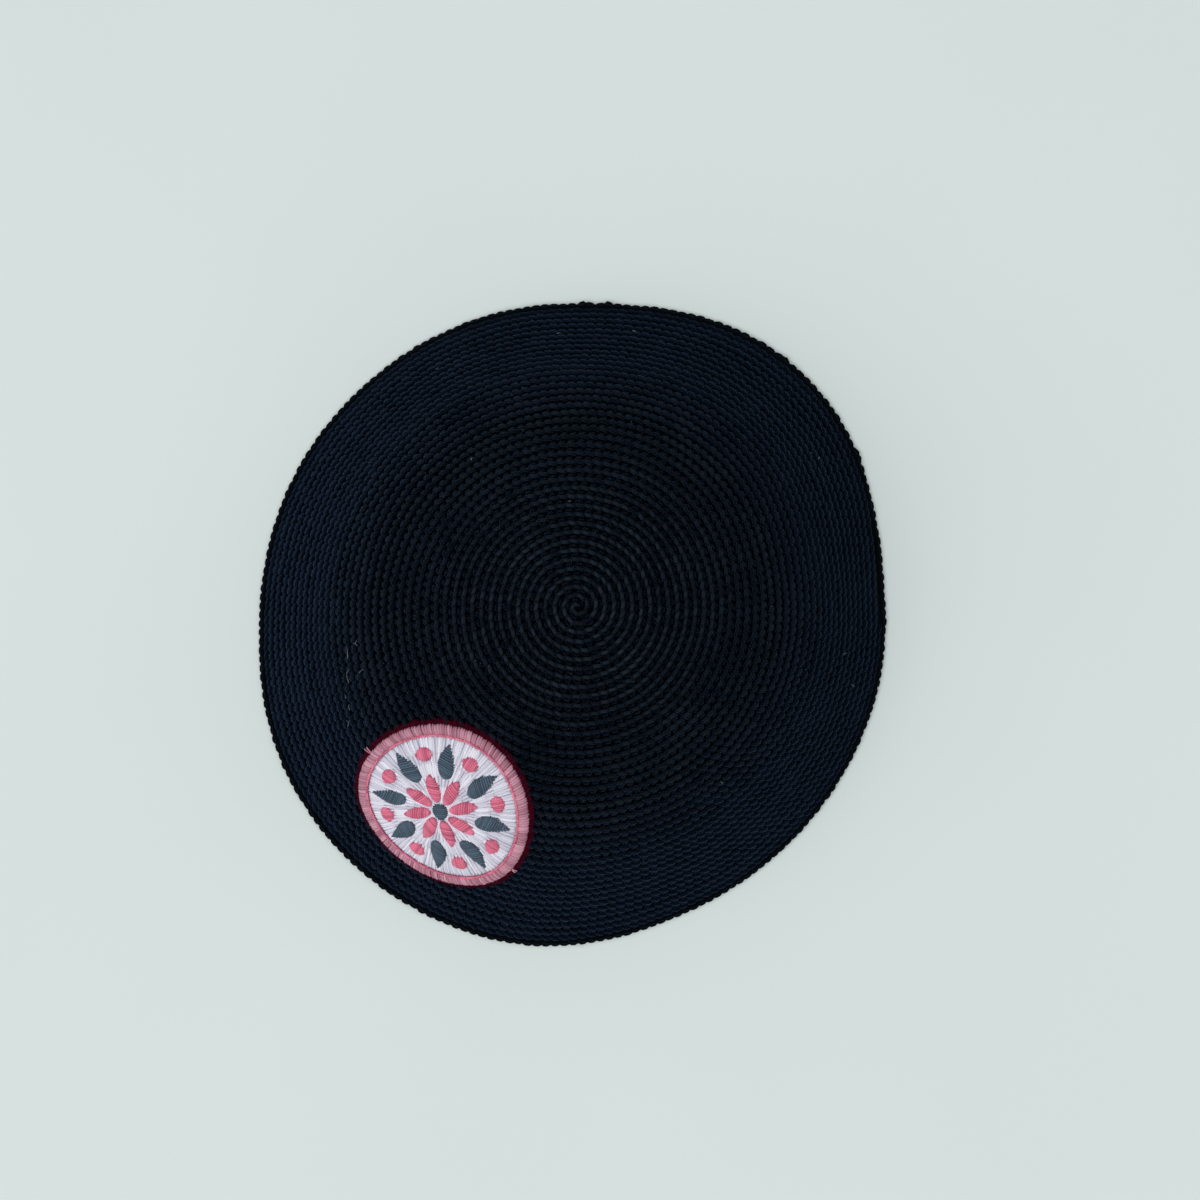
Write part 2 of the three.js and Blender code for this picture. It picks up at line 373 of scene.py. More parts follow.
def straight_strand(sides: int, rings: int) -> bpy.types.Mesh:
    """Models one straight strand along +Z, of radius 1 and length 1, with a UV map.

    Args:
        sides: sides of its section.
        rings: rings of corners along it, both ends included.

    Returns:
        Its mesh, closed, with the UV map running round and along it.
    """
    bm = bmesh.new()
    uv = bm.loops.layers.uv.new("UVMap")
    bmesh.ops.create_cone(bm, cap_ends=True, segments=sides, radius1=1, radius2=1, depth=1)
    for ring in range(1, rings - 1):
        everything = [*bm.verts, *bm.edges, *bm.faces]
        height = ring / (rings - 1) - 0.5
        bmesh.ops.bisect_plane(bm, geom=everything, plane_co=(0, 0, height), plane_no=(0, 0, 1))
    for face in bm.faces:
        centre = face.calc_center_median()
        middle = math.atan2(centre.y, centre.x)
        for loop in face.loops:
            off = math.atan2(loop.vert.co.y, loop.vert.co.x) - middle
            off = (off + math.pi) % TURN - math.pi
            loop[uv].uv = ((middle + off) / TURN, loop.vert.co.z + 0.5)
    bmesh.ops.recalc_face_normals(bm, faces=bm.faces)
    mesh = bpy.data.meshes.new("strand")
    bm.to_mesh(mesh)
    bm.free()
    return smoothed(mesh)


def joined_copies(single: bpy.types.Mesh, count: int, name: str) -> bpy.types.Mesh:
    """Joins many copies of a small mesh into one mesh, one block of corners after another.

    Args:
        single: the mesh to copy.
        count: how many copies.
        name: the new mesh's name.

    Returns:
        The joined mesh, with the copies all in one place.
    """
    holder = bpy.data.objects.new(name, single)
    bpy.context.scene.collection.objects.link(holder)
    array = holder.modifiers.new("Array", "ARRAY")
    array.count = count
    array.use_relative_offset = False
    evaluated = holder.evaluated_get(bpy.context.evaluated_depsgraph_get())
    mesh = bpy.data.meshes.new_from_object(evaluated)
    mesh.name = name
    bpy.data.objects.remove(holder)
    return mesh


def mapped_grid(columns: int, rows: int, place: Callable[[Array, Array], Array]) -> bpy.types.Mesh:
    """Rolls a flat grid into a closed surface.

    Args:
        columns: cells round the surface.
        rows: cells from its start to its end.
        place: gives the corners' places for their shares round and along, from 0 to 1.

    Returns:
        The closed mesh, its seam and ends merged, facing out, with a UV map of the two shares.
    """
    bm = bmesh.new()
    bm.loops.layers.uv.new("UVMap")
    bmesh.ops.create_grid(bm, x_segments=columns, y_segments=rows, size=0.5, calc_uvs=True)
    flat = np.array([vert.co for vert in bm.verts])
    for vert, spot in zip(bm.verts, place(flat[:, 0] + 0.5, flat[:, 1] + 0.5)):
        vert.co = spot
    bmesh.ops.remove_doubles(bm, verts=bm.verts, dist=0.002 * MM)
    bmesh.ops.recalc_face_normals(bm, faces=bm.faces)
    mesh = bpy.data.meshes.new("cloth")
    bm.to_mesh(mesh)
    bm.free()
    return smoothed(mesh)


def bent_strand(straight: Array, path: Array, girths: Array, flatness: float = 1.0) -> Array:
    """Bends a straight strand along a path of as many points as it has rings.

    Args:
        straight: the corners of a straight strand.
        path: the points that the rings are centred on.
        girths: the strand's radius at each point.
        flatness: how high its section is for its width.

    Returns:
        The bent strand's corners.
    """
    ring = np.rint((straight[:, 2] + 0.5) * (len(path) - 1)).astype(int)
    ahead = np.gradient(path, axis=0)
    ahead /= np.linalg.norm(ahead, axis=1, keepdims=True)
    side = np.cross((0, 0, 1), ahead)
    side /= np.maximum(np.linalg.norm(side, axis=1, keepdims=True), 1e-9)
    top = np.cross(ahead, side)
    across = straight[:, :1] * side[ring] + straight[:, 1:2] * top[ring] * flatness
    return path[ring] + across * girths[ring][:, None]


def add_piece(name: str, mesh: bpy.types.Mesh, finish: bpy.types.Material,
              nodes: tuple[str, ...] = ()) -> bpy.types.Object:
    """Adds a finished piece to the cap.

    Args:
        name: the piece's name.
        mesh: its mesh, in place.
        finish: its material.
        nodes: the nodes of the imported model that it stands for.

    Returns:
        The piece.
    """
    mesh.name = name
    mesh.materials.clear()
    mesh.materials.append(finish)
    piece = bpy.data.objects.new(name, mesh)
    bpy.context.scene.collection.objects.link(piece)
    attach(piece, BODY)
    if nodes:
        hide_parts(*nodes)
    triangles = sum(len(face.vertices) - 2 for face in mesh.polygons)
    LOG.info("%s: %d triangles", name, triangles)
    return piece


# The form of the cap


def soft_bump(distance: Array, reach: float) -> Array:
    """The share of its full size that a soft bump has at a distance from its middle."""
    return np.where(distance < reach, np.cos(np.pi / 2 * distance / reach) ** 2, 0.0)


@dataclass(frozen=True)
class Dome:
    """The smooth outer face of the cap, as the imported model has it.

    A point is given by its radius and angle on a round cap, which is then drawn out of round.

    Attributes:
        radius: the rim's radius before it is out of round.
        height: the height of the crown.
        shift: how far the crown has slid from the middle of the rim.
        rise: rows of radius and height, as shares of the two.
        swells: rows of degrees, reach in degrees and swell as a share of the radius.
        dents: rows of x, y, reach and depth, as shares of the radius and the height.
    """

    radius: float = 71.8 * MM
    height: float = 33.0 * MM
    shift: tuple[float, float] = (1.3 * MM, 1.5 * MM)
    rise: tuple[tuple[float, float], ...] = (
        (0.0, 1.0), (0.15, 0.993), (0.3, 0.972), (0.45, 0.93),
        (0.6, 0.827), (0.75, 0.61), (0.9, 0.24), (1.0, 0.0),
    )
    swells: tuple[tuple[float, float, float], ...] = (
        (48, 46, 0.09), (90, 50, 0.024), (130, 60, 0.016),
        (215, 40, 0.034), (254, 42, 0.037), (312, 55, -0.018),
    )
    dents: tuple[tuple[float, float, float, float], ...] = (
        (0.02, 0.02, 0.42, 0.012), (-0.62, -0.12, 0.27, 0.035), (-0.2, 0.6, 0.28, 0.028),
        (0.56, 0.18, 0.26, 0.025), (0.4, -0.52, 0.27, 0.032),
    )

    def dome_height(self, radius: Array) -> Array:
        """The height of the round, undented cap at a radius."""
        at, level = np.array(self.rise).T
        slope = np.gradient(level, at)
        slope[0] = 0.0
        slope[1:-1] = (level[2:] - level[:-2]) / (at[2:] - at[:-2])
        share = radius / self.radius
        row = np.clip(np.searchsorted(at, share, side="right") - 1, 0, len(at) - 2)
        span = at[row + 1] - at[row]
        t = (share - at[row]) / span
        value = level[row] * (1 + 2 * t) * (1 - t) ** 2 + level[row + 1] * t * t * (3 - 2 * t)
        tangent = slope[row] * t * (1 - t) ** 2 + slope[row + 1] * t * t * (t - 1)
        return self.height * (value + tangent * span)

    def plan(self, x: Array, y: Array) -> tuple[Array, Array]:
        """Where a point of the round cap lies in plan once it is out of round."""
        share = np.hypot(x, y) / self.radius
        degrees = np.degrees(np.arctan2(y, x))
        swell = np.zeros_like(share)
        for at, reach, size in self.swells:
            swell += size * soft_bump(np.abs((degrees - at + 180) % 360 - 180), reach)
        grown = 1 + swell * share ** 2
        slide = np.maximum(0.0, 1 - share ** 2)
        return x * grown + self.shift[0] * slide, y * grown + self.shift[1] * slide

    def dent(self, x: Array, y: Array) -> Array:
        """How deep the cap is dented at a point of the round cap."""
        depth = np.zeros_like(x)
        for at_x, at_y, reach, size in self.dents:
            away = np.hypot(x / self.radius - at_x, y / self.radius - at_y)
            depth += self.height * size * soft_bump(away, reach)
        return depth

    def _surface(self, x: Array, y: Array) -> Array:
        """The outer face over points of the round cap."""
        out_x, out_y = self.plan(x, y)
        return np.stack([out_x, out_y, self.dome_height(np.hypot(x, y)) - self.dent(x, y)], -1)

    def lifted(self, x: Array, y: Array, lift: Array) -> Array:
        """Places a distance off the outer face, over points of the round cap."""
        step = 0.05 * MM
        here = self._surface(x, y)
        normal = np.cross(self._surface(x + step, y) - here, self._surface(x, y + step) - here)
        normal /= np.linalg.norm(normal, axis=-1, keepdims=True)
        return here + normal * lift[..., None]

    def at(self, radius: Array, angle: Array, lift: Array) -> Array:
        """Places a distance off the outer face, by radius and angle on the round cap."""
        return self.lifted(radius * np.cos(angle), radius * np.sin(angle), lift)

    def over_plan(self, x: Array, y: Array, lift: Array) -> Array:
        """Places a distance off the outer face, over points of the cap's true plan."""
        round_x, round_y = x.copy(), y.copy()
        for _ in range(12):
            plan_x, plan_y = self.plan(round_x, round_y)
            round_x += x - plan_x
            round_y += y - plan_y
        return self.lifted(round_x, round_y, lift)

    def slope_lengths(self) -> tuple[Array, Array]:
        """Radii from the middle to the rim, and the length of cloth up to each."""
        radii = np.linspace(0, self.radius, 3000)
        steps = np.hypot(np.diff(radii), np.diff(self.dome_height(radii)))
        return radii, np.concatenate([[0.0], np.cumsum(steps)])

    def radius_after(self, length: Array) -> Array:
        """The radius that a length of cloth from the middle reaches."""
        radii, lengths = self.slope_lengths()
        return np.interp(length, lengths, radii)

    def radius_at_height(self, height: float) -> float:
        """The radius at which the dome has a height."""
        radii, _ = self.slope_lengths()
        return float(np.interp(-height, -self.dome_height(radii), radii))


# The crocheted crown


@dataclass
class Crown:
    """The crocheted shell, worked in a spiral from its middle.

    Attributes:
        dome: the form that the cloth takes.
        wall: how thick the cloth is.
        seat: the height at which the edging takes over.
        rounds: how many rounds there are.
        overlap: how far the last round comes down over the edging.
        stitch: how wide a stitch is.
        bands: how many pieces the stitches are split into.
        columns_from: the round from which the stitches stand in columns.
        kept: how many of those rounds have as many stitches as each other.
        cloth_depth: how far the cloth lies below the stitches' crests.
        lit_directions: rows of degrees, reach in degrees and how much paler the side is painted in that
            direction, as painted light; away from them it is painted darker, as painted shade.
        bead: the part of a stitch that shows most, slanting along the round.
        leg: one of the two legs in the groove, which lead on to the next round.
    """

    dome: Dome = field(default_factory=Dome)
    wall: float = 1.8 * MM
    seat: float = 2.1 * MM
    rounds: int = 41
    overlap: float = 0.6 * MM
    stitch: float = 2.0 * MM
    bands: int = 5
    columns_from: int = 23
    kept: int = 5
    cloth_depth: float = 0.95 * MM
    # Painted light: the side is painted paler in these directions, most on the left where the light
    # falls, and darker elsewhere.
    lit_directions: tuple[tuple[float, float, float], ...] = ((185, 110, 0.5), (318, 30, 0.15), (90, 50, 0.12))
    # Rows of millimetres: along the round, out along the cloth, off the cloth, the yarn's radius
    bead: tuple[tuple[float, float, float, float], ...] = (
        (-1.14, -0.24, -0.62, 0.26),
        (-0.86, -0.19, -0.20, 0.37),
        (-0.34, -0.08, 0.05, 0.45),
        (0.26, 0.06, 0.08, 0.46),
        (0.82, 0.18, -0.15, 0.38),
        (1.14, 0.23, -0.62, 0.26),
    )
    leg: tuple[tuple[float, float, float, float], ...] = (
        (-0.62, 0.22, -0.58, 0.28),
        (-0.42, 0.78, -0.66, 0.31),
        (-0.16, 1.26, -0.80, 0.28),
    )

    def __post_init__(self) -> None:
        """Works out the length of cloth and how far apart the rounds lie."""
        radii, lengths = self.dome.slope_lengths()
        self.length = float(np.interp(self.dome.radius_at_height(self.seat), radii, lengths))
        self.pitch = (self.length + self.overlap) / self.rounds

    def length_at(self, angles: Array) -> Array:
        """How far out along the cloth the work is after an angle, counted on from turn to turn.

        The spiral turns into closed rounds with a short step in each towards the rim, so that
        the last round follows it.
        """
        turns = angles / TURN
        part = turns - np.floor(turns)
        step = np.clip(part / 0.07, 0, 1)
        step = step * step * (3 - 2 * step)
        closed = np.clip((turns - self.rounds + 9) / 8, 0, 1)
        return self.pitch * (turns + (step - part) * closed)

    def cloth(self) -> bpy.types.Mesh:
        """The closed shell behind the stitches, with the ridges of the rounds inside."""
        inside, rim = 0.84, 0.86
        inner_end = self.length - 0.9 * MM
        outer_end = self.length + 1.2 * MM
        ridge = 0.22 * MM

        def place(round_share: Array, along: Array) -> Array:
            """The wall from the middle inside to the rim and back up outside."""
            angle = TURN * round_share
            up = np.clip(along / inside, 0, 1) * inner_end
            down = np.clip((1 - along) / (1 - rim), 0, 1) * outer_end
            length = np.where(along < (inside + rim) / 2, up, down)
            wave = np.cos(TURN * (length / self.pitch - round_share))
            grown = np.clip(length / self.pitch, 0, 1)
            inner = -self.wall + ridge * (1 - wave) / 2 * grown
            hem = np.clip((length - self.length + 2 * MM) / (3 * MM), 0, 1)
            outer = -self.cloth_depth + (self.cloth_depth - 0.35 * MM) * hem
            lift = np.where(along < (inside + rim) / 2, inner, outer)
            return self.dome.at(self.dome.radius_after(length), angle, lift)

        mesh = mapped_grid(180, 300, place)
        radii, lengths = self.dome.slope_lengths()
        corners = corners_of(mesh)
        out = np.interp(np.hypot(corners[:, 0], corners[:, 1]), radii, lengths)
        # The share turns the cloth to its side colour, painted sheen on the slope.
        set_share(mesh, "side", self.side_share(out))
        return mesh

    def side_share(self, lengths: Array) -> Array:
        """How far a place has gone over from the crown to the side, from 0 to 1."""
        return np.clip((lengths / self.length - 0.54) / 0.2, 0, 1)

    def stitch_places(self) -> Array:
        """The angle of every stitch along the spiral, counted on from turn to turn."""
        radii, lengths = self.dome.slope_lengths()
        angles = [0.1 * TURN]
        while angles[-1] < TURN * self.rounds - self.stitch / self.dome.radius:
            turns = angles[-1] / TURN
            if turns > self.columns_from:
                turns = turns - (turns - self.columns_from) % self.kept + self.kept / 2
            length = self.pitch * turns
            radius = max(float(np.interp(length, lengths, radii)), 0.5 * MM)
            step = min(self.stitch / radius, 1.2)
            if angles[-1] / TURN > self.columns_from:
                step = TURN / (round(TURN / step) + 0.12)
            angles.append(angles[-1] + step)
        return np.array(angles)

    def one_stitch(self) -> tuple[bpy.types.Mesh, Array, Array]:
        """Models one stitch.

        Returns:
            Its mesh, its corners along, out and off the cloth, and how pale each corner is, legs
            painted darker as shade.
        """
        mirrored = tuple((-along, out, off, girth) for along, out, off, girth in self.leg)
        bm = bmesh.new()
        shapes, tones = [], []
        # The legs lie in the groove and get a darker tone, as painted shade.
        for rows, sides, tone in ((self.bead, 6, 1.0), (self.leg, 5, 0.3), (mirrored, 5, 0.3)):
            part = straight_strand(sides, len(rows))
            path = np.array(rows) * MM
            shapes.append(bent_strand(corners_of(part), path[:, :3], path[:, 3], 0.85))
            tones.append(np.full(len(shapes[-1]), tone))
            bm.from_mesh(part)
        mesh = bpy.data.meshes.new("stitch")
        bm.to_mesh(mesh)
        bm.free()
        return mesh, np.concatenate(shapes), np.concatenate(tones)

    def stitches(self, bare: Callable[[Array], Array]) -> list[bpy.types.Mesh]:
        """The stitches of all rounds, in a few meshes.

        Args:
            bare: tells which of the places that it is given stay without stitches.

        Returns:
            One mesh for each band of rounds.
        """
        rng = np.random.default_rng(11)
        angles = self.stitch_places()
        lengths = self.length_at(angles)
        centres = self.dome.at(self.dome.radius_after(lengths), angles, np.zeros_like(angles))
        keep = ~bare(centres)
        angles, lengths = angles[keep], lengths[keep]

        single, shape, shade = self.one_stitch()
        meshes = []
        for number, band in enumerate(np.array_split(np.arange(len(angles)), self.bands)):
            mesh = joined_copies(single, len(band), f"rounds_{number + 1}")
            size = (len(band), 1)
            turn, start = angles[band][:, None], lengths[band][:, None]
            side = self.side_share(start)
            lean = rng.normal(0.0, 0.05, size) + 0.12 * side
            across = shape[None, :, 0] * rng.normal(1.0, 0.06, size) * (1 + 0.06 * side)
            out = shape[None, :, 1] * rng.normal(1.0, 0.06, size) * (1 + 0.28 * side)
            out = out + across * lean
            lift = shape[None, :, 2] * rng.normal(1.0, 0.06, size) * (1 - 0.5 * side)
            lift = lift + rng.normal(0, 0.05 * MM, size)
            radius = np.maximum(self.dome.radius_after(start), 1.6 * MM)
            turned = turn + across / radius
            length = self.length_at(np.maximum(turned, 0)) + out + self.wander(turn, start)
            length = np.clip(length, 0, self.length + self.overlap + 0.5 * MM)
            places = self.dome.at(self.dome.radius_after(length), turned, lift)
            move_corners(mesh, places.reshape(-1, 3))
            # Painted highlight and shade: the tone is paler high on the beads and darker low down, near
            # the cloth.
            crest = np.clip((shape[None, :, 2] + 0.1 * MM) / (0.45 * MM), 0, 1) * shade[None, :]
            # Painted shade towards each bead's ends, which leaves a painted highlight in its middle.
            ends = np.clip((np.abs(shape[None, :, 0]) - 0.45 * MM) / (0.45 * MM), 0, 1)
            # On the side the tone is evened out and raised, as painted sheen on the slope.
            crest = crest * (1 - 0.55 * ends) * (0.9 - 0.66 * side) + 0.58 * side
            # Painted shade on the ring where the flat crown turns into the side.
            shoulder = soft_bump(np.abs(start / self.length - 0.48), 0.32)
            # Painted light and shade on the side, paler in the lit directions and darker elsewhere.
            crest = crest * (1 - 0.56 * shoulder) * (1 - side + side * self.painted_side_light(turn))
            uneven = 0.78 + rng.normal(0.0, 0.28, size) * (1 - 0.4 * side)
            tones = np.clip(uneven, 0.12, 1.2) * crest
            set_tone(mesh, tones.ravel())
            # The side share picks the finish's side colour, painted sheen on the slope.
            set_share(mesh, "side", (side * np.ones_like(tones)).ravel())
            meshes.append(smoothed(mesh))
        return meshes

    def painted_side_light(self, angles: Array) -> Array:
        """How pale the side is painted in a direction, as painted light and shade."""
        degrees = np.degrees(angles)
        pale = np.full_like(angles, 0.5)
        for at, reach, size in self.lit_directions:
            pale += size * soft_bump(np.abs((degrees - at + 180) % 360 - 180), reach)
        return pale

    def wander(self, angles: Array, lengths: Array) -> Array:
        """How far the rounds stray from an even spiral, as hand work does."""
        slow = np.sin(3 * angles + lengths / (9 * MM)) + np.sin(7 * angles - lengths / (5 * MM))
        return 0.05 * MM * slow

    def build(self, yarn: bpy.types.Material, backing: bpy.types.Material,
              bare: Callable[[Array], Array]) -> None:
        """Adds the cloth and its stitches."""
        add_piece("crown_cloth", self.cloth(), backing, ("crown",))
        for mesh in self.stitches(bare):
            add_piece(mesh.name, mesh, yarn)


# The edging


@dataclass
class Edging:
    """The last round, a firm roll along the rim with a chain of loops on it.

    Attributes:
        dome: the form of the cap.
        roll: the roll's radius.
        inset: how far its middle lies inside the rim.
        link: the length of one link of the chain.
        knots: rows of degrees, reach in degrees and how far a knot stands out.
    """

    dome: Dome = field(default_factory=Dome)
    roll: float = 0.64 * MM
    inset: float = 0.80 * MM
    link: float = 2.05 * MM
    facing: float = math.radians(48)
    knots: tuple[tuple[float, float, float], ...] = (
        (84, 1.6, 0.45 * MM), (88, 1.4, 0.5 * MM), (51.5, 1.2, 0.4 * MM), (30.5, 1.4, 0.45 * MM),
    )
    loop: tuple[tuple[float, float, float, float], ...] = (
        (-0.62, 0.10, -0.30, 0.24),
        (-0.20, 0.50, 0.00, 0.32),
        (0.45, 0.46, 0.10, 0.33),
        (1.00, 0.02, 0.02, 0.28),
        (0.45, -0.46, 0.10, 0.33),
        (-0.20, -0.50, 0.00, 0.32),
        (-0.62, -0.10, -0.30, 0.24),
    )

    def place(self, angle: Array, around: Array, lift: Array) -> Array:
        """Places on the roll: angle round the cap, angle round the roll, and lift off it."""
        degrees = np.degrees(angle)
        knot = np.zeros_like(angle)
        for at, reach, size in self.knots:
            knot += size * soft_bump(np.abs((degrees - at + 180) % 360 - 180), reach)
        out = self.roll + lift + knot
        radius = self.dome.radius - self.inset + out * np.cos(around)
        height = np.maximum(self.roll + out * np.sin(around), 0.0)
        x, y = self.dome.plan(radius * np.cos(angle), radius * np.sin(angle))
        return np.stack([x, y, height], -1)

    def core(self) -> bpy.types.Mesh:
        """The roll itself."""
        return mapped_grid(300, 14, lambda a, b: self.place(TURN * a, TURN * b, np.zeros_like(a)))

    def chain(self) -> bpy.types.Mesh:
        """The links of the chain along the roll."""
        rng = np.random.default_rng(23)
        count = round(TURN * self.dome.radius / self.link)
        rows = np.array(self.loop)
        single = straight_strand(5, len(rows))
        path = rows[:, :3] * np.array([self.link * 0.62, self.roll * 1.15, 0.4 * MM])
        shape = bent_strand(corners_of(single), path, rows[:, 3] * 1.05 * MM, 0.9)
        mesh = joined_copies(single, count, "chain")
        size = (count, 1)
        angles = TURN * np.arange(count)[:, None] / count
        across = shape[None, :, 0] * rng.normal(1.0, 0.06, size)
        around = self.facing + shape[None, :, 1] / self.roll + rng.normal(0, 0.07, size)
        lift = shape[None, :, 2] * rng.normal(1.0, 0.06, size) + rng.normal(0, 0.05 * MM, size)
        turned = angles + across / self.dome.radius
        places = self.place(turned, around, lift)
        move_corners(mesh, places.reshape(-1, 3))
        set_tone(mesh, (np.clip(rng.normal(0.4, 0.2, size), 0, 1) * np.ones_like(turned)).ravel())
        return smoothed(mesh)

    def build(self, yarn: bpy.types.Material) -> None:
        """Adds the roll and its chain."""
        core = self.core()
        set_tone(core, np.full(len(core.vertices), 0.3))
        add_piece("edging_roll", core, yarn, ("edging",))
        add_piece("edging_chain", self.chain(), yarn)


# The embroidered disc


@dataclass(frozen=True)
class Stitching:
    """Satin stitches, as straight lines in the plane of the disc.

    Attributes:
        starts: rows of x and y where each stitch goes in.
        ends: rows of x and y where it comes out.
        floor: the height that its ends go down to.
        arch: how far its middle stands above its ends.
        girth: the thread's radius.
    """

    starts: Array
    ends: Array
    floor: float
    arch: float
    girth: float


@dataclass(frozen=True)
class Threads:
    """The embroidery threads of the disc."""

    white: ThreadFinish = ThreadFinish("white_rayon", linear(176, 172, 190), linear(230, 227, 236))
    rose: ThreadFinish = ThreadFinish("rose_rayon", linear(156, 60, 90), linear(230, 118, 146))
    border: ThreadFinish = ThreadFinish("pink_rayon", linear(126, 62, 84), linear(206, 150, 168))
    maroon: ThreadFinish = ThreadFinish("maroon_rayon", linear(34, 0, 10), linear(66, 4, 24), 0.7, 0.03)
    navy: ThreadFinish = ThreadFinish("navy_rayon", linear(30, 46, 62), linear(66, 88, 108))


@dataclass
class EmbroideredDisc:
    """The round disc: a white stitched ground, a satin border and a rosette with leaves and buds.

    Attributes:
        dome: the form that it lies on.
        seat: the height at which the crown ends, from which its rise is measured.
        radius: the disc's radius.
        rise: the cloth between the edging and the disc's lower edge.
        direction: the direction that it lies in, in degrees.
        border: the border's width.
        spokes: petals, leaves and buds in a round.
    """

    dome: Dome = field(default_factory=Dome)
    seat: float = 2.1 * MM
    radius: float = 20.2 * MM
    rise: float = 9.0 * MM
    direction: float = 236.0
    border: float = 2.4 * MM
    spokes: int = 8
    pad_height: float = 0.72 * MM
    ground_thread: float = 0.34 * MM
    ground_pitch: float = 0.62 * MM
    ground_rings: tuple[tuple[float, float], ...] = ((0.05, 0.36), (0.33, 0.68), (0.64, 1.01))
    border_thread: float = 0.32 * MM
    border_pitch: float = 0.6 * MM
    satin_thread: float = 0.27 * MM
    satin_pitch: float = 0.46 * MM
    scallops: int = 56

    def __post_init__(self) -> None:
        """Works out the line straight up the slope through the disc's middle."""
        angle = math.radians(self.direction)
        self.outward = np.array([math.cos(angle), math.sin(angle)])
        self.sideways = np.array([-self.outward[1], self.outward[0]])
        self.ground = self.radius - self.border - 0.3 * MM
        start = self.dome.radius_at_height(self.seat)
        foot_x, foot_y = self.dome.plan(*(np.array([c]) * start for c in self.outward))
        reach = float(np.hypot(foot_x, foot_y)[0])
        distances = np.linspace(reach, 0, 1200)
        line = self.dome.over_plan(distances * self.outward[0], distances * self.outward[1],
                                   np.zeros_like(distances))
        steps = np.hypot(np.diff(distances), np.diff(line[:, 2]))
        self.distances = distances
        self.lengths = np.concatenate([[0.0], np.cumsum(steps)])

    def place(self, x: Array, y: Array, lift: Array) -> Array:
        """Places on the cap for places in the disc's plane: x round the cap, y up its slope."""
        distance = np.interp(self.rise + self.radius + y, self.lengths, self.distances)
        plan_x = distance * self.outward[0] + x * self.sideways[0]
        plan_y = distance * self.outward[1] + x * self.sideways[1]
        return self.dome.over_plan(plan_x, plan_y, lift)

    def covers(self, places: Array) -> Array:
        """Which places of the cap lie well under the disc."""
        centre = self.place(np.zeros(1), np.zeros(1), np.zeros(1))[0]
        return np.linalg.norm(places - centre, axis=-1) < self.radius - 1.6 * MM

    def pad(self) -> bpy.types.Mesh:
        """The closed backing that the stitches are worked on."""
        bm = bmesh.new()
        bm.loops.layers.uv.new("UVMap")
        bmesh.ops.create_uvsphere(bm, u_segments=64, v_segments=24, radius=1, calc_uvs=True)
        mesh = bpy.data.meshes.new("pad")
        bm.to_mesh(mesh)
        bm.free()
        spots = corners_of(mesh)
        spread = np.hypot(spots[:, 0], spots[:, 1])
        reach = self.radius - 0.35 * MM
        flat = np.sign(spots[:, 2]) * (1 - spread ** 6) ** 0.5
        lift = self.pad_height * (0.5 + 0.5 * flat) - 0.25 * MM
        even = 2 / math.pi * np.arcsin(np.clip(spread, 0, 1))
        scale = reach * even / np.maximum(spread, 1e-9)
        flat = np.sign(spots[:, 2]) * np.sqrt(np.maximum(0.0, 1 - even ** 8))
        lift = self.pad_height * (0.5 + 0.5 * flat) - 0.25 * MM
        move_corners(mesh, self.place(spots[:, 0] * scale, spots[:, 1] * scale, lift))
        set_tone(mesh, np.full(len(mesh.vertices), 0.3))
        return smoothed(mesh)

    def satin(self, stitching: Stitching, seed: int) -> bpy.types.Mesh:
        """Models a set of satin stitches as strands on the cap.

        Args:
            stitching: the stitches.
            seed: the seed of their small differences.

        Returns:
            One mesh of all of them.
        """
        rng = np.random.default_rng(seed)
        count = len(stitching.starts)
        along = np.array([0.0, 0.14, 0.5, 0.86, 1.0])
        arch = np.array([0.0, 0.72, 1.0, 0.72, 0.0])
        swell = np.array([0.7, 1.0, 1.05, 1.0, 0.7])
        single = straight_strand(6, len(along))
        straight = corners_of(single)
        ring = np.rint((straight[:, 2] + 0.5) * (len(along) - 1)).astype(int)
        mesh = joined_copies(single, count, "satin")
        run = stitching.ends - stitching.starts
        length = np.linalg.norm(run, axis=1, keepdims=True)
        ahead = run / length
        side = np.stack([-ahead[:, 1], ahead[:, 0]], -1)
        girth = stitching.girth * swell[ring][None, :] * rng.normal(1.0, 0.05, (count, 1))
        middle = stitching.starts[:, None, :] + run[:, None, :] * along[ring][None, :, None]
        flat = middle + side[:, None, :] * (straight[None, :, 0] * girth)[..., None]
        height = stitching.arch * arch[ring][None, :] * rng.normal(1.0, 0.06, (count, 1))
        lift = stitching.floor + height + straight[None, :, 1] * girth * 0.8
        places = self.place(flat[..., 0].ravel(), flat[..., 1].ravel(), lift.ravel())
        move_corners(mesh, places)
        tones = np.clip(rng.normal(0.5, 0.34, (count, 1)), 0, 1) * np.ones_like(lift)
        set_tone(mesh, tones.ravel())
        return smoothed(mesh)

    def ground_stitches(self) -> Stitching:
        """Rings of stitches that point outwards and fill the ground."""
        rng = np.random.default_rng(3)
        starts, ends = [], []
        for inner, outer in self.ground_rings:
            near, far = self.ground * inner, self.ground * outer
            count = round(TURN * far / self.ground_pitch)
            angle = TURN * np.arange(count) / count + rng.normal(0, 0.006, count)
            spokes = np.stack([np.cos(angle), np.sin(angle)], -1)
            short = np.where(np.arange(count) % 2 == 1, 0.35, 0.0)[:, None] * (far - near)
            starts.append(spokes * (near + short * (inner > 0) + rng.normal(0, 0.1 * MM, (count, 1))))
            ends.append(spokes * (far + rng.normal(0, 0.12 * MM, (count, 1))))
        return Stitching(np.concatenate(starts), np.concatenate(ends), 0.34 * MM, 0.26 * MM,
                         self.ground_thread)

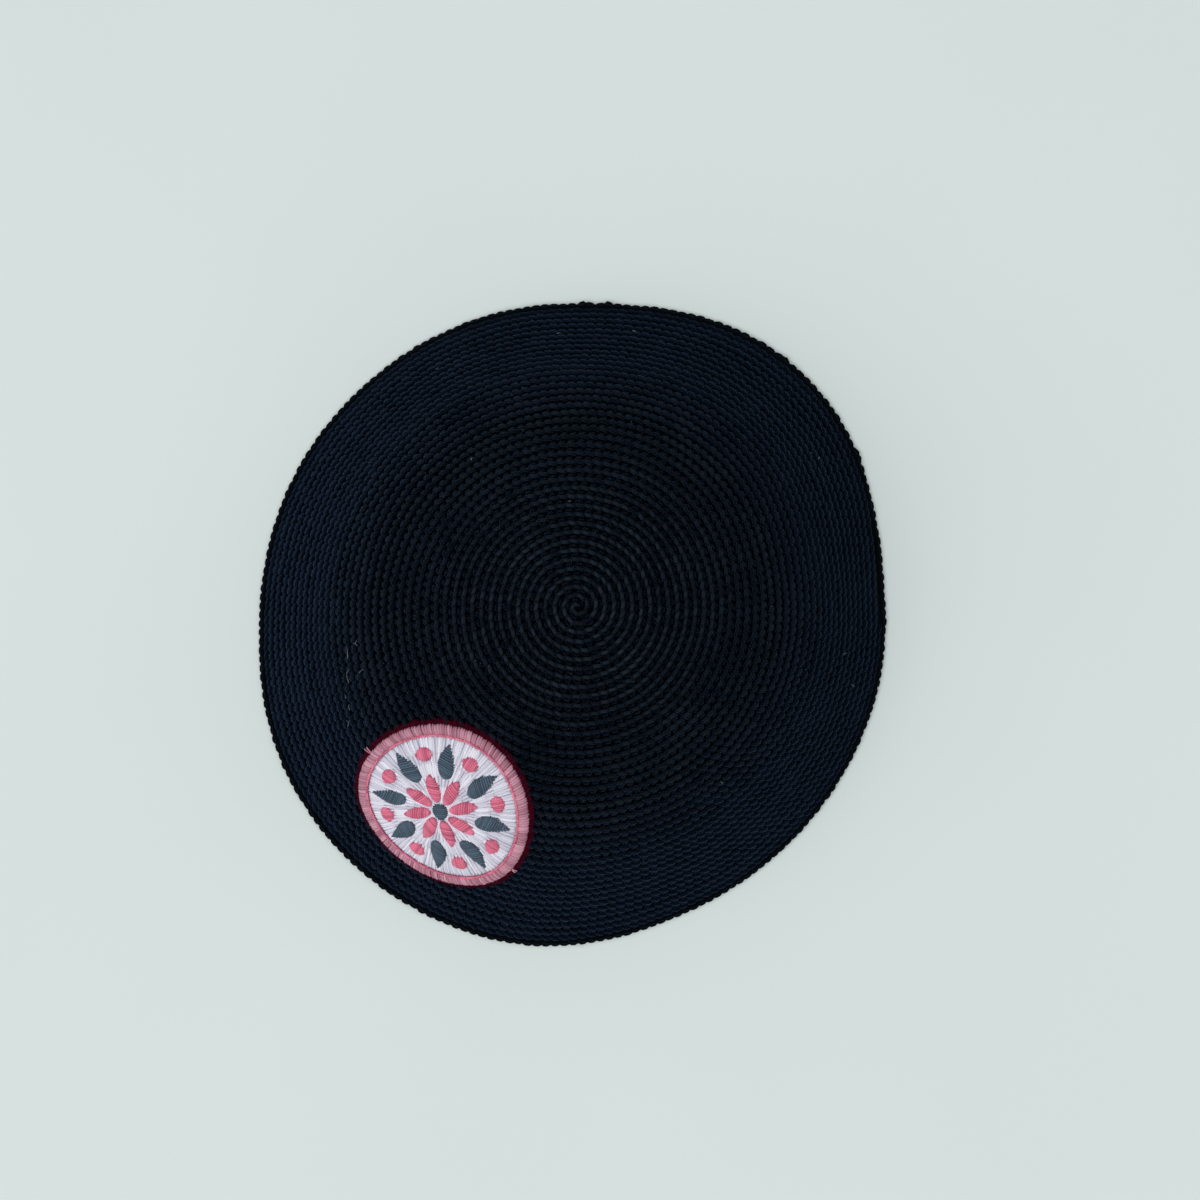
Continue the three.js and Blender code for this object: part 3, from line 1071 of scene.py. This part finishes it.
    def border_stitches(self) -> Stitching:
        """Stitches across the border, side by side all the way round, with a scalloped edge."""
        rng = np.random.default_rng(5)
        inner = self.radius - self.border - 0.15 * MM
        count = round(TURN * self.radius / self.border_pitch)
        angle = TURN * np.arange(count) / count + rng.normal(0, 0.0035, count)
        spokes = np.stack([np.cos(angle), np.sin(angle)], -1)
        ahead = np.stack([np.cos(angle + 0.03), np.sin(angle + 0.03)], -1)
        scallop = 0.14 * MM * np.abs(np.sin(angle * self.scallops / 2))[:, None]
        inside = inner + rng.normal(0, 0.08 * MM, (count, 1))
        outside = self.radius - 0.1 * MM + scallop + rng.normal(0, 0.05 * MM, (count, 1))
        return Stitching(spokes * inside, ahead * outside, 0.22 * MM, 0.74 * MM,
                         self.border_thread)

    def inner_line(self) -> Stitching:
        """Short stitches end to end that outline the ground just inside the border."""
        radius = self.radius - self.border - 0.05 * MM
        angle = TURN * np.arange(self.scallops) / self.scallops
        ahead = angle + TURN / self.scallops * 1.12
        starts = np.stack([np.cos(angle), np.sin(angle)], -1) * radius
        ends = np.stack([np.cos(ahead), np.sin(ahead)], -1) * radius
        return Stitching(starts, ends, 0.5 * MM, 0.42 * MM, 0.26 * MM)

    def underlay(self) -> Stitching:
        """Dark thread that holds the disc down and shows just outside the border."""
        rng = np.random.default_rng(6)
        count = round(TURN * self.radius / (0.42 * MM))
        angle = TURN * np.arange(count) / count
        spokes = np.stack([np.cos(angle), np.sin(angle)], -1)
        slant = np.stack([np.cos(angle + 0.03), np.sin(angle + 0.03)], -1)
        outside = self.radius + 1.15 * MM + rng.normal(0, 0.16 * MM, (count, 1))
        return Stitching(spokes * (self.radius - 0.8 * MM), slant * outside, -0.02 * MM,
                         0.26 * MM, 0.27 * MM)

    def tails(self) -> Stitching:
        """The cut ends of the thread, one at either end of the disc."""
        starts = np.array([[-0.985, 0.10], [-0.985, 0.115], [0.99, -0.13], [0.99, -0.118]])
        ends = np.array([[-1.075, 0.105], [-1.06, 0.14], [1.045, -0.135], [1.05, -0.105]])
        return Stitching(starts * self.radius, ends * self.radius, 0.45 * MM, 0.15 * MM, 0.15 * MM)

    def chords(self, centre: Array, radius: float, lean: float) -> Stitching:
        """Stitches side by side that fill a small round."""
        ahead = np.array([math.cos(lean), math.sin(lean)])
        side = np.array([-ahead[1], ahead[0]])
        offs = np.arange(-radius + 0.2 * MM, radius, self.satin_pitch)[:, None]
        half = np.sqrt(np.maximum(radius ** 2 - offs ** 2, (0.3 * MM) ** 2))
        return Stitching(centre - ahead * half + side * offs, centre + ahead * half + side * offs,
                         0.62 * MM, 0.5 * MM, self.satin_thread)

    def blade_stitches(self, start: float, end: float, fill: float, fullest: float,
                       spoke: float) -> Stitching:
        """Slanting stitches that fill a pointed oval along a spoke.

        Args:
            start: where it starts, as a share of the ground's radius.
            end: where it ends.
            fill: how much of the room between the spokes it takes.
            fullest: how far along its sides are at their fullest.
            spoke: its direction.

        Returns:
            The stitches.
        """
        near, far = self.ground * start, self.ground * end
        side = math.pi * (near + far) / self.spokes * fill / 2
        full = near + (far - near) * fullest
        count = round((far - near) / self.satin_pitch * 1.1)
        t = (np.arange(count) + 0.5) / count
        out = near * (1 - t) ** 3 + 3 * near * (1 - t) ** 2 * t + 3 * full * (1 - t) * t ** 2
        out = out + far * t ** 3
        half = np.maximum(3 * side * t * (1 - t), 0.25 * MM)
        slant = 0.35 * half
        low = np.stack([out - slant, -half], -1)
        high = np.stack([out + slant, half], -1)
        turn = np.array([[math.cos(spoke), math.sin(spoke)], [-math.sin(spoke), math.cos(spoke)]])
        return Stitching(low @ turn, high @ turn, 0.6 * MM, 0.52 * MM, self.satin_thread)

    def build(self, threads: "Threads") -> None:
        """Adds the backing, the ground, the border and the motifs."""
        white, navy = threads.white.material(), threads.navy.material()
        rose, border = threads.rose.material(), threads.border.material()
        maroon = threads.maroon.material()
        add_piece("disc_backing", self.pad(), white)
        ground = self.satin(self.ground_stitches(), 31)
        add_piece("ground_satin", ground, white, ("patch_ground",))
        rim = self.satin(self.border_stitches(), 32)
        add_piece("border_satin", rim, border, ("patch_border",))
        add_piece("border_underlay", self.satin(self.underlay(), 34), maroon)
        add_piece("border_line", self.satin(self.inner_line(), 35), rose)
        add_piece("thread_tails", self.satin(self.tails(), 36), border)
        middle = self.satin(self.chords(np.zeros(2), self.ground * 0.11, 0.6), 33)
        add_piece("heart_satin", middle, navy, ("heart",))
        for number in range(1, self.spokes + 1):
            spoke = TURN * (number - 1) / self.spokes
            between = spoke + TURN / self.spokes / 2
            petal = self.satin(self.blade_stitches(0.145, 0.5, 0.95, 0.85, spoke), 100 + number)
            add_piece(f"petal_{number}_satin", petal, rose, (f"petal_{number}",))
            leaf = self.satin(self.blade_stitches(0.48, 0.92, 0.56, 0.55, between), 200 + number)
            add_piece(f"leaf_{number}_satin", leaf, navy, (f"leaf_{number}",))
            centre = self.ground * 0.78 * np.array([math.cos(spoke), math.sin(spoke)])
            bud = self.satin(self.chords(centre, self.ground * 0.1, spoke), 300 + number)
            add_piece(f"bud_{number}_satin", bud, rose, (f"bud_{number}",))


# Fuzz and lint


@dataclass
class Fuzz:
    """Fine fibres that stand off the yarn, and a little pale lint caught on it.

    Attributes:
        dome: the form that they grow from.
        count: how many fibres there are.
        specks: how many specks of dust there are.
        lint: rows of x, y, length and direction in degrees, in millimetres.
    """

    dome: Dome = field(default_factory=Dome)
    count: int = 5200
    specks: int = 340
    fibre: float = 0.016 * MM
    lint: tuple[tuple[float, float, float, float], ...] = (
        (-49.3, -9.2, 2.8, 94), (-49.0, -14.6, 3.2, 88), (-49.8, -18.0, 1.1, 100),
        (-48.9, -20.5, 1.4, 91), (-49.4, -24.0, 1.1, 75), (-47.0, -6.4, 1.2, 150),
        (-47.6, -6.0, 0.9, 60), (-46.6, -12.4, 1.2, 35), (-49.2, -23.2, 0.8, 130),
        (60.5, -7.8, 1.0, 20), (63.4, -14.8, 0.9, 150), (55.3, 36.4, 0.8, 60),
        (-3.6, 65.0, 1.0, 15), (14.3, 65.8, 0.9, 160), (-31.0, 57.0, 0.8, 40),
        (-0.6, 24.5, 0.6, 30), (33.0, -36.5, 0.6, 130), (-22.0, 34.0, 0.6, 75),
    )

    def fibres(self, starts: Array, run: Array, girth: float, name: str) -> bpy.types.Mesh:
        """Models curved fibres from their starts along their runs, both in space."""
        count = len(starts)
        rings = 4
        single = straight_strand(3, rings)
        straight = corners_of(single)
        ring = np.rint((straight[:, 2] + 0.5) * (rings - 1)).astype(int)
        share = ring / (rings - 1)
        mesh = joined_copies(single, count, name)
        rng = np.random.default_rng(77)
        length = np.linalg.norm(run, axis=1, keepdims=True)
        bow = rng.normal(0, 0.22, (count, 3)) * length
        path = starts[:, None, :] + run[:, None, :] * share[None, :, None]
        path = path + bow[:, None, :] * (share * (1 - share) * 2)[None, :, None]
        ahead = run / length
        side = np.cross(ahead, (0.31, 0.52, 0.79))
        side /= np.linalg.norm(side, axis=1, keepdims=True)
        top = np.cross(ahead, side)
        thin = girth * (1 - 0.6 * share)
        path = path + side[:, None, :] * (straight[:, 0] * thin)[None, :, None]
        path = path + top[:, None, :] * (straight[:, 1] * thin)[None, :, None]
        path[..., 2] = np.maximum(path[..., 2], 0.0)
        move_corners(mesh, path.reshape(-1, 3))
        set_tone(mesh, np.full(len(mesh.vertices), 0.9))
        return smoothed(mesh)

    def build(self, dark: bpy.types.Material, speck: bpy.types.Material,
              pale: bpy.types.Material, bare: Callable[[Array], Array]) -> None:
        """Adds the fibres, the dust and the lint."""
        rng = np.random.default_rng(41)
        radius = self.dome.radius * np.sqrt(rng.uniform(0, 1, self.count))
        angle = rng.uniform(0, TURN, self.count)
        low = self.dome.at(radius, angle, np.full(self.count, 0.1 * MM))
        high = self.dome.at(radius, angle, np.full(self.count, 1.1 * MM))
        up = (high - low) / MM
        keep = ~bare(low)
        flat = rng.normal(0, 1, (self.count, 3))
        run = (up * rng.uniform(0.15, 0.75, (self.count, 1)) + flat * 0.55) * 0.7 * MM
        add_piece("fuzz", self.fibres(low[keep], run[keep], self.fibre, "fuzz"), dark)

        spread = self.dome.radius * np.sqrt(rng.uniform(0.0, 0.97, self.specks))
        turn = rng.normal(math.radians(160), 1.5, self.specks)
        low = self.dome.at(spread, turn, np.full(self.specks, 0.42 * MM))
        keep = ~bare(low)
        run = rng.normal(0, 0.2 * MM, (self.specks, 3)) * (1.0, 1.0, 0.3)
        dust = self.fibres(low[keep], run[keep], 0.045 * MM, "dust")
        add_piece("dust", dust, speck)

        rows = np.array(self.lint)
        x, y, length = (rows[:, i] * MM for i in range(3))
        turn = np.radians(rows[:, 3])
        lift = np.full(len(rows), 0.5 * MM)
        starts = self.dome.over_plan(x, y, lift)
        ends = self.dome.over_plan(x + length * np.cos(turn), y + length * np.sin(turn), lift)
        lint = self.fibres(starts, ends - starts, 0.07 * MM, "lint")
        add_piece("lint", lint, pale)


# The studio


@dataclass
class Studio:
    """The table, the light and the camera.

    Attributes:
        pixels: pixels to the metre at the table.
        frame_side: the picture's side in pixels.
        middle: the pixel under which the cap's middle lies.
        elevation: the camera's height above the horizon, in degrees.
        distance: the camera's distance.
    """

    pixels: float = 4350.0
    frame_side: int = 1200
    middle: tuple[float, float] = (573.0, 623.0)
    elevation: float = 86.0
    distance: float = 0.6
    sensor: float = 36.0

    def camera(self) -> None:
        """Sets up the camera as it looked down on the cap."""
        data = bpy.data.cameras.new("camera")
        data.sensor_width = self.sensor
        data.lens = self.sensor * self.distance * self.pixels / self.frame_side
        data.clip_start = 0.01
        camera = bpy.data.objects.new("camera", data)
        half = self.frame_side / 2
        target = Vector(((half - self.middle[0]) / self.pixels,
                         (self.middle[1] - half) / self.pixels, 0.0))
        tilt = math.radians(self.elevation)
        back = Vector((0.0, -math.cos(tilt), math.sin(tilt)))
        camera.location = target + back * self.distance
        camera.rotation_euler = (math.pi / 2 - tilt, 0.0, 0.0)
        bpy.context.scene.collection.objects.link(camera)
        bpy.context.scene.camera = camera

    def hang(self, data: bpy.types.Light, place: tuple[float, float, float]) -> None:
        """Hangs a light at a place and turns it to face the cap."""
        lamp = bpy.data.objects.new(data.name, data)
        lamp.location = place
        lamp.rotation_euler = (-Vector(place)).to_track_quat("-Z", "Y").to_euler()
        bpy.context.scene.collection.objects.link(lamp)

    def lights(self) -> None:
        """Adds a near window, which fades across the table, and two broad, far lights."""
        window = bpy.data.lights.new("window", "AREA")
        window.size = 1.6
        window.energy = 6.5
        self.hang(window, (-1.3, -0.75, 1.1))
        for name, place, strength in (("left", (-1.1, -0.35, 1.1), 0.55),
                                      ("overhead", (-0.1, -0.45, 1.5), 0.72)):
            far = bpy.data.lights.new(name, "SUN")
            far.angle = math.radians(70)
            far.energy = strength
            self.hang(far, place)

    def floor(self) -> None:
        """Adds the table top."""
        bm = bmesh.new()
        bmesh.ops.create_grid(bm, x_segments=2, y_segments=2, size=3.0)
        mesh = bpy.data.meshes.new("table")
        bm.to_mesh(mesh)
        bm.free()
        mesh.materials.append(TableFinish().material())
        table = bpy.data.objects.new("table", mesh)
        bpy.context.scene.collection.objects.link(table)

    def surroundings(self) -> None:
        """Sets the even light of the room."""
        world = bpy.data.worlds.new("room")
        world.use_nodes = True
        background = world.node_tree.nodes["Background"]
        background.inputs["Color"].default_value = (0.94, 0.985, 0.985, 1.0)
        background.inputs["Strength"].default_value = 0.65
        bpy.context.scene.world = world
        bpy.context.scene.view_settings.view_transform = "Standard"

    def build(self) -> None:
        """Sets the whole studio up."""
        self.camera()
        self.floor()
        self.surroundings()
        self.lights()


def main() -> None:
    """Builds the cap piece by piece, then the studio round it."""
    logging.basicConfig(level=logging.INFO, format="%(message)s")
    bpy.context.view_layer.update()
    # Its deep colour is painted shade, its pale one painted highlight on the crests, its third painted
    # sheen on the side.
    yarn = CottonFinish("navy_black_cotton", linear(0, 2, 9), linear(34, 40, 48),
                        linear(13, 24, 40), 0.09, 0.02)
    hem = CottonFinish("black_cotton", linear(1, 2, 3), linear(8, 11, 15), linear(8, 11, 15),
                       0.03, 0.05)
    fluff = CottonFinish("cotton_fuzz", linear(6, 10, 17), linear(22, 31, 44),
                         linear(22, 31, 44), 0.1, 0.05)
    wisp = CottonFinish("pale_lint", linear(96, 104, 112), linear(158, 166, 172),
                        linear(158, 166, 172), 0.1, 0.2)
    speck = CottonFinish("pale_dust", linear(44, 52, 64), linear(110, 120, 132), linear(110, 120, 132),
                         0.1, 0.1)
    # Painted shade: the cloth between the stitches is much darker than the yarn; its side colour is
    # painted sheen.
    backing = ClothFinish("cotton_cloth", linear(0, 1, 5), linear(3, 7, 14), linear(6, 15, 27),
                          230.0, 41.0)
    disc = EmbroideredDisc()
    Crown().build(yarn.material(), backing.material(), disc.covers)
    Edging().build(hem.material())
    disc.build(Threads())
    Fuzz().build(fluff.material(), speck.material(), wisp.material(), disc.covers)
    Studio().build()


if __name__ == "__main__":
    main()
